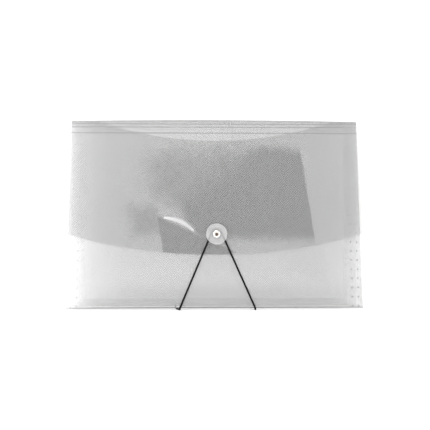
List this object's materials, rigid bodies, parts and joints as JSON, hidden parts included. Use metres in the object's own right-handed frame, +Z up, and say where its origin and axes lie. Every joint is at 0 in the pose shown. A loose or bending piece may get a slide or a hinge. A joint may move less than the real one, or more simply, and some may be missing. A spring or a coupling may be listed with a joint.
{
  "type": "expanding portfolio case",
  "caption": "Expanding portfolio case of frosted plastic sheet: wedge-shaped gusseted pocket, scored flap with a button, and a black elastic cord loop.",
  "frame": {"origin": "centre of the footprint, on the surface that the case stands on", "axes": "+Z up, -Y out of the front, +X to the right as seen from the front, along the case's width"},
  "size_m": [0.462, 0.0458, 0.297],
  "materials": {
    "sheet": "frosted translucent polypropylene, finely ribbed on the diagonal",
    "disc": "frosted, smooth",
    "metal": "bright, slightly brushed",
    "cord": "woven cover over elastic",
    "barb": "black coated"
  },
  "bodies": {
    "back": {"back_panel": "sheet", "left_back_flange": "sheet", "right_back_flange": "sheet"},
    "spine_1": {"spine_strip_1": "sheet"},
    "spine_2": {"spine_strip_2": "sheet"},
    "spine_3": {"spine_strip_3": "sheet"},
    "spine_4": {"spine_strip_4": "sheet"},
    "flap": {"flap_panel": "sheet", "button_post": "disc", "button_rivet": "metal", "button_backing": "metal"},
    "disc": {"button_disc": "disc"},
    "front": {"front_panel": "sheet", "left_front_flange": "sheet", "right_front_flange": "sheet"},
    "bottom_back": {"bottom_strip_back": "sheet"},
    "bottom_front": {"bottom_strip_front": "sheet", "cord_barb_left": "barb", "cord_barb_right": "barb"},
    "left_leaf_back": {"left_back_leaf": "sheet"},
    "left_leaf_front": {"left_front_leaf": "sheet"},
    "right_leaf_back": {"right_back_leaf": "sheet"},
    "right_leaf_front": {"right_front_leaf": "sheet"},
    "cord": {"elastic_cord": "cord"}
  },
  "joints": [
    {"name": "flap_fold", "type": "hinge", "parent": "back", "child": "spine_1", "pos_m": [0, 0.0225, 0.2966], "axis": [-1, 0, 0], "range_deg": [0, 100]},
    {"name": "front_corner_fold", "type": "hinge", "parent": "spine_1", "child": "spine_2", "pos_m": [0, 0.01609, 0.2966], "axis": [-1, 0, 0], "range_deg": [0, 85]},
    {"name": "score_2_fold", "type": "hinge", "parent": "spine_2", "child": "spine_3", "pos_m": [0, 0.01542, 0.29134], "axis": [-1, 0, 0], "range_deg": [0, 18]},
    {"name": "score_3_fold", "type": "hinge", "parent": "spine_3", "child": "spine_4", "pos_m": [0, 0.01475, 0.28608], "axis": [-1, 0, 0], "range_deg": [0, 18]},
    {"name": "score_4_fold", "type": "hinge", "parent": "spine_4", "child": "flap", "pos_m": [0, 0.01353, 0.27646], "axis": [-1, 0, 0], "range_deg": [0, 18]},
    {"name": "gusset_close", "type": "hinge", "parent": "back", "child": "front", "pos_m": [0, 0.0203, 0.29326], "axis": [1, 0, 0], "range_deg": [0, 5.8]},
    {"name": "bottom_back_fold", "type": "hinge", "parent": "back", "child": "bottom_back", "pos_m": [0, 0.0203, 0.0004], "axis": [-1, 0, 0], "range_deg": [0, 48]},
    {"name": "bottom_front_fold", "type": "hinge", "parent": "front", "child": "bottom_front", "pos_m": [0, -0.01648, 0.0037], "axis": [1, 0, 0], "range_deg": [0, 45]},
    {"name": "left_back_pleat", "type": "hinge", "parent": "back", "child": "left_leaf_back", "pos_m": [-0.2276, 0.0203, 0.0004], "axis": [0, 0, 1], "range_deg": [0, 44]},
    {"name": "right_back_pleat", "type": "hinge", "parent": "back", "child": "right_leaf_back", "pos_m": [0.2276, 0.0203, 0.0004], "axis": [0, 0, -1], "range_deg": [0, 44]},
    {"name": "left_front_pleat", "type": "hinge", "parent": "front", "child": "left_leaf_front", "pos_m": [-0.2276, -0.01648, 0.0037], "axis": [0, -0.1258, -0.9921], "range_deg": [0, 44]},
    {"name": "right_front_pleat", "type": "hinge", "parent": "front", "child": "right_leaf_front", "pos_m": [0.2276, -0.01648, 0.0037], "axis": [0, 0.1258, 0.9921], "range_deg": [0, 44]},
    {"name": "cord_swing", "type": "hinge", "parent": "front", "child": "cord", "pos_m": [0, -0.0186, 0.00445], "axis": [1, 0, 0], "range_deg": [0, 96], "deforming": ["elastic_cord"]},
    {"name": "button_turn", "type": "hinge", "parent": "flap", "child": "disc", "pos_m": [0.0023, -0.00482, 0.1159], "axis": [0, -0.9921, 0.1258], "continuous": true}
  ],
  "couplings": [
    {"joint": "bottom_back_fold", "follows": "gusset_close", "ratio": 8.2758},
    {"joint": "bottom_front_fold", "follows": "gusset_close", "ratio": 7.7585},
    {"joint": "left_back_pleat", "follows": "gusset_close", "ratio": 7.5861},
    {"joint": "right_back_pleat", "follows": "gusset_close", "ratio": 7.5861},
    {"joint": "left_front_pleat", "follows": "gusset_close", "ratio": 7.5861},
    {"joint": "right_front_pleat", "follows": "gusset_close", "ratio": 7.5861}
  ]
}
